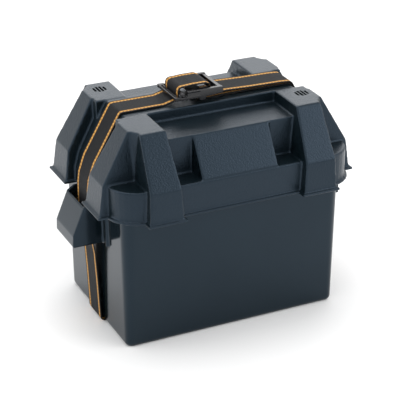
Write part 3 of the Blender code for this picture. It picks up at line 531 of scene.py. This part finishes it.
end_run = [
    (-0.1552, 0.1360), (-0.1558, 0.1610), (-0.1556, 0.1800), (-0.1540, 0.1930), (-0.1490, 0.2080),
    (-0.1464, 0.2145), (-0.1146, 0.2697), (-0.1136, 0.2714), (-0.1120, 0.2729), (-0.1090, 0.2734),
]
through_buckle = [
    (-0.0560, 0.2734), (-0.0460, 0.2760), (-0.0405, 0.2776), (-0.0378, 0.2800), (-0.0382, 0.2860),
    (-0.0372, 0.2905), (-0.0340, 0.2923), (-0.0180, 0.2932), (-0.0020, 0.2930), (0.0030, 0.2908),
    (0.0058, 0.2860), (0.0085, 0.2808), (0.0125, 0.2784), (0.0172, 0.2785), (0.0260, 0.2786),
]
tail_fold, tail_end = (0.1164, 0.2707), (0.1332, 0.2416)
tail = [
    (0.0600, 0.2772), (0.1000, 0.2764), (0.1092, 0.2757), (0.1130, 0.2750), (0.1152, 0.2729),
    tail_fold, tail_end,
]
sewn_loop = [
    (0.0850, 0.2738), (0.0600, 0.2744), (0.0250, 0.2744), (0.0050, 0.2736), (-0.0110, 0.2734),
    (-0.0140, 0.2750), (-0.0148, 0.2772), (-0.0135, 0.2793), (-0.0105, 0.2800), (-0.0010, 0.2792),
]
down_end = [
    (-0.1541, 0.1250), (-0.1497, 0.0950), (-0.1475, 0.0600), (-0.1455, 0.0160), (-0.1450, 0.0062),
    (-0.1433, 0.0026), (-0.1395, 0.0013),
]


def other_end(points):
    return [(-x, z) for x, z in points]


def strung(points, most=0.005):
    """Points added along the straight parts of a route, so that the curve through them stays straight."""
    route = [Vector((x, 0.0, z)) for x, z in points]
    filled = route[:1]
    for a, b in zip(route, route[1:]):
        count = math.ceil((b - a).length / most)
        filled += [a.lerp(b, (i + 1) / count) for i in range(count)]
    return filled


def strap_run(name, points, body, node):
    """One run of webbing, with its place in the weave, as a strip cut to that length."""
    run = grown(points_at(name, strung(points), joined=True), webbing_tape, webbing_cloth, Width=webbing_wide)
    thick = run.modifiers.new("thick", "SOLIDIFY")
    thick.thickness, thick.offset, thick.use_even_offset = webbing_thick, 0.0, True
    settle(run)
    run.data.shade_smooth()
    run.data.set_sharp_from_angle(angle=math.radians(60))
    place_piece(run, webbing_cloth, body, "webbing", node)


left_route = end_run + through_buckle + tail
strap_run("webbing_left_and_tail", left_route, "strap_top", "strap_left")
right_route = other_end(end_run) + sewn_loop
strap_run("webbing_right", right_route, "strap_top", "strap_right")
lower_route = down_end + other_end(down_end)[::-1]
strap_run("webbing_under_base", lower_route, "base", "strap_lower")

# Stitches: short thread bars along a line
stitching, given = shape_tree("stitching", {"Spacing": 0.0030, "Length": 0.0021, "Thread": 0.00035})
seam = add(stitching, "GeometryNodeMeshToCurve", {0: given["Geometry"]}).outputs[0]
seam = add(
    stitching, "GeometryNodeCurveToPoints", {"Curve": seam, "Length": given["Spacing"]}, mode="LENGTH"
)
bar = add(stitching, "GeometryNodeMeshUVSphere", {"Segments": 6, "Rings": 5, "Radius": 0.5}).outputs[0]
bar_size = along_axes(stitching, given["Thread"], given["Thread"], given["Length"])
turned = seam.outputs["Rotation"]
end_tree(stitching, at_points(stitching, seam.outputs["Points"], bar, Rotation=turned, Scale=bar_size), given)

thread, tree, shader, place = new_material("black_thread")
strands = cloud(tree, place, 3800.0, 2.0)
tree.links.new(tint(tree, strands, (0.006, 0.006, 0.007), (0.030, 0.030, 0.034)), shader.inputs["Base Color"])
tree.links.new(ramp(tree, strands, 0.2, 0.8, 0.40, 0.60), shader.inputs["Roughness"])
relief(tree, shader, strands, 0.5, 0.0001)

webbing_lift, half_seam = webbing_thick / 2 + 0.00005, 0.0175
upward = Vector((tail_fold[0] - tail_end[0], 0, tail_fold[1] - tail_end[1])).normalized()
outward = Vector((upward.z, 0, -upward.x))
for i, from_end in enumerate((0.0040, 0.0170)):
    at = Vector((tail_end[0], 0, tail_end[1])) + upward * from_end + outward * webbing_lift
    line = [at + Vector((0, y, 0)) for y in (-half_seam, half_seam)]
    seam_piece = grown(points_at(f"tail_hem_stitches_{i + 1}", line, joined=True), stitching, thread)
    seam_piece.data.shade_smooth()
    place_piece(seam_piece, thread, "strap_top", "webbing")


# ---------------------------------------------------------------------------------------------
# Buckle: a ladder frame moulded in glossy nylon. Its left bar has small ridges that bite on the
# webbing, and its right bar and anchor bar hold the other end.
# ---------------------------------------------------------------------------------------------

buckle_nylon = moulded_plastic(
    "buckle_nylon", (0.0050, 0.0055, 0.0070), (0.0075, 0.0080, 0.0100), (0.035, 0.036, 0.040),
    rough=0.22, level=0.60, pebbles=1900.0, depth=0.00002, swing=0.10,
)
buckle = softened("buckle_frame", "buckle_frame_moulding", 0.00036, 5, 50)
place_piece(buckle, buckle_nylon, "strap_top", "buckle_black", "buckle_frame")

ridge_count, ridge_pitch = 12, 0.0034
bar_ridges, given = shape_tree(
    "bar_ridges", {"Ridges": 12, "Pitch": 0.0034, "Length": 0.0040, "Thick": 0.0011, "High": 0.0014}
)
ridge_line = row_of_points(bar_ridges, given["Ridges"], along_axes(bar_ridges, y=given["Pitch"]))
ridge = add(bar_ridges, "GeometryNodeMeshUVSphere", {"Segments": 12, "Rings": 8, "Radius": 0.5}).outputs[0]
ridge_size = along_axes(bar_ridges, given["Length"], given["Thick"], given["High"])
ridges = at_points(bar_ridges, ridge_line, ridge, Scale=ridge_size)
end_tree(bar_ridges, at_points(bar_ridges, given["Geometry"], ridges), given)

buckle_low, buckle_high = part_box("buckle_frame")
first_ridge = (buckle_low.x + 0.0031, -(ridge_count - 1) * ridge_pitch / 2, 0.2832)
teeth = grown(
    points_at("buckle_bar_ridges", [first_ridge]), bar_ridges, buckle_nylon, Ridges=ridge_count, Pitch=ridge_pitch
)
teeth.data.shade_smooth()
place_piece(teeth, buckle_nylon, "strap_top", "buckle_black")


# ---------------------------------------------------------------------------------------------
# Slide bar: a round steel bar, blackened, that the webbing folds over. It slides in the slots of
# the buckle's rails and jams the webbing against the left bar.
# ---------------------------------------------------------------------------------------------

blackened_steel, tree, shader, place = new_material("blackened_steel")
rub = effect_in(tree, edge_wear, place, Start=0.50, End=0.58, Patches=400.0)["Mask"]
lay = add(tree, "ShaderNodeMapping", {"Vector": place, "Scale": (4000.0, 60.0, 4000.0)}).outputs[0]
drawn = cloud(tree, lay, 1.0, 2.0)
tree.links.new(tint(tree, rub, (0.016, 0.016, 0.018), (0.16, 0.16, 0.165)), shader.inputs["Base Color"])
tree.links.new(sum_of(tree, "MULTIPLY_ADD", rub, 0.8, 0.1), shader.inputs["Metallic"])
tree.links.new(ramp(tree, drawn, 0.2, 0.8, 0.28, 0.44), shader.inputs["Roughness"])
relief(tree, shader, drawn, 0.3, 0.00004)

bar_low, bar_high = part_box("buckle_slide_bar")
bar_bm = bmesh.new()
bar_middle = (bar_low + bar_high) / 2
bmesh.ops.create_cone(
    bar_bm, cap_ends=True, segments=40, radius1=0.0023, radius2=0.0023, depth=bar_high.y - bar_low.y,
    matrix=Matrix.Translation(bar_middle) @ Matrix.Rotation(math.radians(90), 4, "X"),
)
slide_bar = piece_from("slide_bar_rod", bar_bm)
chamfer = slide_bar.modifiers.new("chamfer", "BEVEL")
chamfer.width, chamfer.segments, chamfer.limit_method = 0.0005, 3, "ANGLE"
settle(slide_bar)
slide_bar.data.shade_smooth()
slide_bar.data.set_sharp_from_angle(angle=math.radians(50))
place_piece(slide_bar, blackened_steel, "slide_bar", "slide_bar_black", "buckle_slide_bar")


# ---------------------------------------------------------------------------------------------
# Battery case and cover: satin black polypropylene, heat-welded together. The cover has a raised
# strip with six wells, a bushing for each terminal, and a moulded plus and minus.
# ---------------------------------------------------------------------------------------------

case_plastic = moulded_plastic(
    "battery_case_plastic", (0.0070, 0.0072, 0.0080), (0.0110, 0.0112, 0.0125), (0.030, 0.030, 0.033),
    rough=0.42, level=0.45, pebbles=1300.0, depth=0.00005, swing=0.12, dust=0.05,
)
cover_plastic = moulded_plastic(
    "battery_cover_plastic", (0.0085, 0.0087, 0.0095), (0.0135, 0.0137, 0.0150), (0.038, 0.038, 0.041),
    rough=0.38, level=0.45, pebbles=1300.0, depth=0.00005, swing=0.12, dust=0.08,
)
case = softened("battery_case", "battery_case_moulding", 0.0011, 3, 110)
place_piece(case, case_plastic, "battery", "case_plastic", "battery_case")
cover = softened("battery_cover", "battery_cover_moulding", 0.0008, 4, 110)
place_piece(cover, cover_plastic, "battery", "cover_plastic", "battery_cover")

terminal_x, terminal_y, cover_top = 0.1059, -0.0520, 0.2050
mark_y, mark_long, mark_wide, mark_high = terminal_y + 0.0215, 0.0076, 0.0020, 0.0005
for name, x, bars in (("minus", -terminal_x, ((mark_long, mark_wide),)),
                      ("plus", terminal_x, ((mark_long, mark_wide), (mark_wide, mark_long)))):
    mark_bm = bmesh.new()
    for wide, tall in bars:
        size = Matrix.Diagonal((wide, tall, mark_high + 0.0004, 1.0))
        bmesh.ops.create_cube(mark_bm, size=1.0, matrix=Matrix.Translation((x, mark_y, cover_top)) @ size)
    mark = piece_from(f"polarity_{name}", mark_bm)
    rounding = mark.modifiers.new("rounding", "BEVEL")
    rounding.width, rounding.segments = 0.0003, 2
    settle(mark)
    place_piece(mark, cover_plastic, "battery", "cover_plastic")


# ---------------------------------------------------------------------------------------------
# Gang vent caps: yellow polypropylene, each with three plugs that push into the wells. Ribs along
# both long sides give a grip for pulling the cap up.
# ---------------------------------------------------------------------------------------------

cap_plastic = moulded_plastic(
    "vent_cap_plastic", (0.50, 0.315, 0.012), (0.60, 0.395, 0.022), (0.68, 0.50, 0.10),
    rough=0.36, level=0.45, pebbles=1600.0, depth=0.00003, swing=0.12, dust=0.10,
)
rib_pitch = 0.0050
grip_ribs, given = shape_tree("grip_ribs", {"Ribs": 20, "Pitch": 0.0050, "Thick": 0.0014, "High": 0.0058})
rib_line = row_of_points(grip_ribs, given["Ribs"], along_axes(grip_ribs, x=given["Pitch"]))
rib = add(grip_ribs, "GeometryNodeMeshUVSphere", {"Segments": 10, "Rings": 6, "Radius": 0.5}).outputs[0]
rib_size = along_axes(grip_ribs, given["Thick"], given["Thick"], given["High"])
ribs = at_points(grip_ribs, rib_line, rib, Scale=rib_size)
end_tree(grip_ribs, at_points(grip_ribs, given["Geometry"], ribs), given)

for side in ("left", "right"):
    cap_low, cap_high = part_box(f"gang_vent_cap_{side}")
    cap = softened(f"gang_vent_cap_{side}", f"vent_cap_{side}", 0.0006, 4, 60)
    place_piece(cap, cap_plastic, f"cap_{side}", "cap_plastic", f"gang_vent_cap_{side}")
    count = int((cap_high.x - cap_low.x - 0.010) / rib_pitch)
    start = (cap_low.x + cap_high.x) / 2 - (count - 1) * rib_pitch / 2
    sides = [(start, y, cap_high.z - 0.0046) for y in (cap_low.y + 0.0001, cap_high.y - 0.0001)]
    grip = grown(points_at(f"cap_grip_ribs_{side}", sides), grip_ribs, cap_plastic, Ribs=count, Pitch=rib_pitch)
    grip.data.shade_smooth()
    place_piece(grip, cap_plastic, f"cap_{side}", "cap_plastic")


# ---------------------------------------------------------------------------------------------
# Terminals: a lead alloy casting with a tapered post and a pad, dull grey, with patches of white
# bloom. A threaded steel stud stands in the pad.
# ---------------------------------------------------------------------------------------------

cast_lead, tree, shader, place = new_material("cast_lead")
mottle = cloud(tree, place, 260.0, 4.0, 0.6)
bloom = ramp(tree, cloud(tree, place, 420.0, 3.0), 0.56, 0.72)
scuffs = effect_in(tree, edge_wear, place, Patches=600.0)["Mask"]
metal = tint(tree, ramp(tree, mottle, 0.3, 0.7), (0.20, 0.205, 0.215), (0.34, 0.345, 0.36))
metal = tint(tree, scuffs, metal, (0.52, 0.53, 0.55))
metal = tint(tree, sum_of(tree, "MULTIPLY", bloom, 0.35), metal, (0.62, 0.63, 0.62))
tree.links.new(metal, shader.inputs["Base Color"])
tree.links.new(sum_of(tree, "MULTIPLY_ADD", bloom, -0.45, 0.9), shader.inputs["Metallic"])
tree.links.new(ramp(tree, mottle, 0.2, 0.8, 0.38, 0.62), shader.inputs["Roughness"])
relief(tree, shader, mottle, 0.5, 0.00025)

zinc_plate, tree, shader, place = new_material("zinc_plated_steel")
crystals = add(tree, "ShaderNodeTexVoronoi", {"Vector": place, "Scale": 900.0}).outputs["Distance"]
passive = cloud(tree, place, 180.0, 2.0)
rubbed = effect_in(tree, edge_wear, place, Patches=500.0)["Mask"]
plating = tint(tree, ramp(tree, passive, 0.35, 0.65), (0.56, 0.57, 0.58), (0.66, 0.65, 0.60))
tree.links.new(tint(tree, rubbed, plating, (0.80, 0.80, 0.79)), shader.inputs["Base Color"])
tree.links.new(sum_of(tree, "MULTIPLY_ADD", rubbed, 0.05, 0.92), shader.inputs["Metallic"])
tree.links.new(ramp(tree, crystals, 0.1, 0.7, 0.24, 0.38), shader.inputs["Roughness"])
relief(tree, shader, crystals, 0.25, 0.00004)

# Thread: a ridge wound along a core
stud_thread, given = shape_tree(
    "stud_thread", {"Radius": 0.0040, "Pitch": 0.00125, "Length": 0.0280, "Depth": 0.0007, "Plain": 0.0012}
)
core_radius = sum_of(stud_thread, "SUBTRACT", given["Radius"], given["Depth"])
crest_radius = sum_of(stud_thread, "MULTIPLY", given["Depth"], 0.60)
crest_depth = sum_of(stud_thread, "MULTIPLY", given["Depth"], 0.62)
turn_radius = sum_of(stud_thread, "SUBTRACT", given["Radius"], crest_depth)
both_ends = sum_of(stud_thread, "MULTIPLY", given["Plain"], 2.0)
threaded = sum_of(stud_thread, "SUBTRACT", given["Length"], both_ends)
turns = sum_of(stud_thread, "DIVIDE", threaded, given["Pitch"])
winding = {
    "Resolution": 28, "Rotations": turns, "Start Radius": turn_radius, "End Radius": turn_radius,
    "Height": sum_of(stud_thread, "MULTIPLY", turns, given["Pitch"]),
}
wound = add(stud_thread, "GeometryNodeCurveSpiral", winding).outputs[0]
crest_shape = {"Resolution": 6, "Radius": crest_radius}
crest = add(stud_thread, "GeometryNodeCurvePrimitiveCircle", crest_shape).outputs[0]
swept = {"Curve": wound, "Profile Curve": crest, "Fill Caps": True}
wound = add(stud_thread, "GeometryNodeCurveToMesh", swept).outputs[0]


def raised(tree, geometry, height):
    """A shape moved up."""
    move = {"Geometry": geometry, "Translation": along_axes(tree, z=height)}
    return add(tree, "GeometryNodeTransform", move).outputs[0]


rod = {"Vertices": 32, "Radius": core_radius, "Depth": given["Length"]}
core = add(stud_thread, "GeometryNodeMeshCylinder", rod).outputs[0]
half_length = sum_of(stud_thread, "MULTIPLY", given["Length"], 0.5)
both = add(stud_thread, "GeometryNodeJoinGeometry")
stud_thread.links.new(raised(stud_thread, core, half_length), both.inputs[0])
stud_thread.links.new(raised(stud_thread, wound, given["Plain"]), both.inputs[0])
end_tree(stud_thread, at_points(stud_thread, given["Geometry"], both.outputs[0]), given)

for name in ("negative", "positive"):
    post = softened(f"terminal_{name}", f"terminal_casting_{name}", 0.0004, 4, 40)
    place_piece(post, cast_lead, "battery", "lead", f"terminal_{name}")
    stud_low, stud_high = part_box(f"stud_{name}")
    foot = ((stud_low.x + stud_high.x) / 2, (stud_low.y + stud_high.y) / 2, stud_low.z)
    stud = grown(
        points_at(f"threaded_stud_{name}", [foot]), stud_thread, zinc_plate,
        Radius=(stud_high.x - stud_low.x) / 2, Length=stud_high.z - stud_low.z,
    )
    stud.data.shade_smooth()
    stud.data.set_sharp_from_angle(angle=math.radians(35))
    place_piece(stud, zinc_plate, "battery", "steel", f"stud_{name}")


# ---------------------------------------------------------------------------------------------
# Washers and wing nuts: zinc-plated steel. The washer is stamped, with a rolled edge, and the nut
# is cast with two wings that the fingers turn.
# ---------------------------------------------------------------------------------------------

for name in ("negative", "positive"):
    washer_low, washer_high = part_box(f"washer_{name}")
    middle = (washer_low + washer_high) / 2
    outer, hole, thick = (washer_high.x - washer_low.x) / 2, 0.0044, washer_high.z - washer_low.z
    section = [
        (hole, 0.0003), (hole + 0.0003, 0.0), (outer - 0.0005, 0.0), (outer, 0.0005),
        (outer, thick - 0.0005), (outer - 0.0005, thick), (hole + 0.0003, thick), (hole, thick - 0.0003),
    ]
    washer_bm = bmesh.new()
    rings = [
        [
            washer_bm.verts.new((
                middle.x + radius * math.cos(2 * math.pi * i / 64),
                middle.y + radius * math.sin(2 * math.pi * i / 64),
                washer_low.z + height,
            ))
            for i in range(64)
        ]
        for radius, height in section
    ]
    for inner_ring, outer_ring in zip(rings, rings[1:] + rings[:1]):
        for i in range(64):
            j = (i + 1) % 64
            washer_bm.faces.new((inner_ring[i], outer_ring[i], outer_ring[j], inner_ring[j]))
    bmesh.ops.recalc_face_normals(washer_bm, faces=washer_bm.faces)
    washer = piece_from(f"stamped_washer_{name}", washer_bm)
    washer.data.shade_smooth()
    washer.data.set_sharp_from_angle(angle=math.radians(40))
    place_piece(washer, zinc_plate, "battery", "steel", f"washer_{name}")
    nut = softened(f"wing_nut_{name}", f"cast_wing_nut_{name}", 0.00034, 4, 50)
    place_piece(nut, zinc_plate, f"nut_{name}", "steel", f"wing_nut_{name}")


# ---------------------------------------------------------------------------------------------
# Plates, separators and welds: pasted lead grids burned to a bus bar, brown where positive and
# grey where negative, a folded porous sheet between them, and a lead weld through each partition.
# ---------------------------------------------------------------------------------------------

# Grid: the lattice of the casting that shows through the paste
pasted_grid, given, result = effect(
    "pasted_grid", {"Wide": 0.0100, "Tall": 0.0050, "Wire": 0.12}, ("Wires", "Paste")
)
parts = add(pasted_grid, "ShaderNodeSeparateXYZ", {0: given["Vector"]}).outputs
near = []
for axis, pitch in (("Y", "Wide"), ("Z", "Tall")):
    turn = sum_of(pasted_grid, "FRACT", sum_of(pasted_grid, "DIVIDE", parts[axis], given[pitch]))
    off_wire = sum_of(pasted_grid, "ABSOLUTE", sum_of(pasted_grid, "SUBTRACT", turn, 0.5))
    near.append(sum_of(pasted_grid, "MULTIPLY", off_wire, 2.0))
closest = sum_of(pasted_grid, "MINIMUM", *near)
wire_core = sum_of(pasted_grid, "MULTIPLY", given["Wire"], 0.4)
put_out(pasted_grid, ramp(pasted_grid, closest, given["Wire"], wire_core), result["Wires"])
put_out(pasted_grid, cloud(pasted_grid, given["Vector"], 900.0, 4.0, 0.65), result["Paste"])


def plate_material(name, dark, light, wire_colour, metallic):
    material, tree, shader, place = new_material(name)
    grid = effect_in(tree, pasted_grid, place)
    paste = tint(tree, ramp(tree, grid["Paste"], 0.3, 0.7), dark, light)
    colour = tint(tree, sum_of(tree, "MULTIPLY", grid["Wires"], 0.6), paste, wire_colour)
    tree.links.new(colour, shader.inputs["Base Color"])
    tree.links.new(sum_of(tree, "MULTIPLY", grid["Wires"], metallic), shader.inputs["Metallic"])
    tree.links.new(ramp(tree, grid["Paste"], 0.2, 0.8, 0.65, 0.90), shader.inputs["Roughness"])
    relief(tree, shader, sum_of(tree, "MULTIPLY_ADD", grid["Wires"], 0.8, grid["Paste"]), 0.6, 0.0003)
    return material


brown_plate = plate_material(
    "brown_positive_paste", (0.045, 0.018, 0.009), (0.095, 0.042, 0.022), (0.16, 0.12, 0.10), 0.5
)
grey_plate = plate_material(
    "grey_negative_paste", (0.095, 0.098, 0.105), (0.175, 0.18, 0.19), (0.30, 0.30, 0.31), 0.7
)

separator_sheet, tree, shader, place = new_material("porous_separator")
sideways = add(tree, "ShaderNodeSeparateXYZ", {0: place}).outputs["Y"]
corrugation = sum_of(tree, "SINE", sum_of(tree, "MULTIPLY", sideways, 900.0))
pores = cloud(tree, place, 2200.0, 3.0, 0.6)
tree.links.new(tint(tree, pores, (0.50, 0.475, 0.41), (0.70, 0.68, 0.61)), shader.inputs["Base Color"])
tree.links.new(ramp(tree, pores, 0.2, 0.8, 0.62, 0.85), shader.inputs["Roughness"])
relief(tree, shader, sum_of(tree, "MULTIPLY_ADD", corrugation, 0.5, pores), 0.5, 0.0003)


def coat(node, material):
    """Gives a carried-over solid its finish."""
    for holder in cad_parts[node].material_slots:
        holder.material = material


for number in range(1, 7):
    coat(f"positive_plates_{number}", brown_plate)
    coat(f"negative_plates_{number}", grey_plate)
    coat(f"separator_{number}", separator_sheet)
for number in range(1, 6):
    coat(f"cell_weld_{number}", cast_lead)
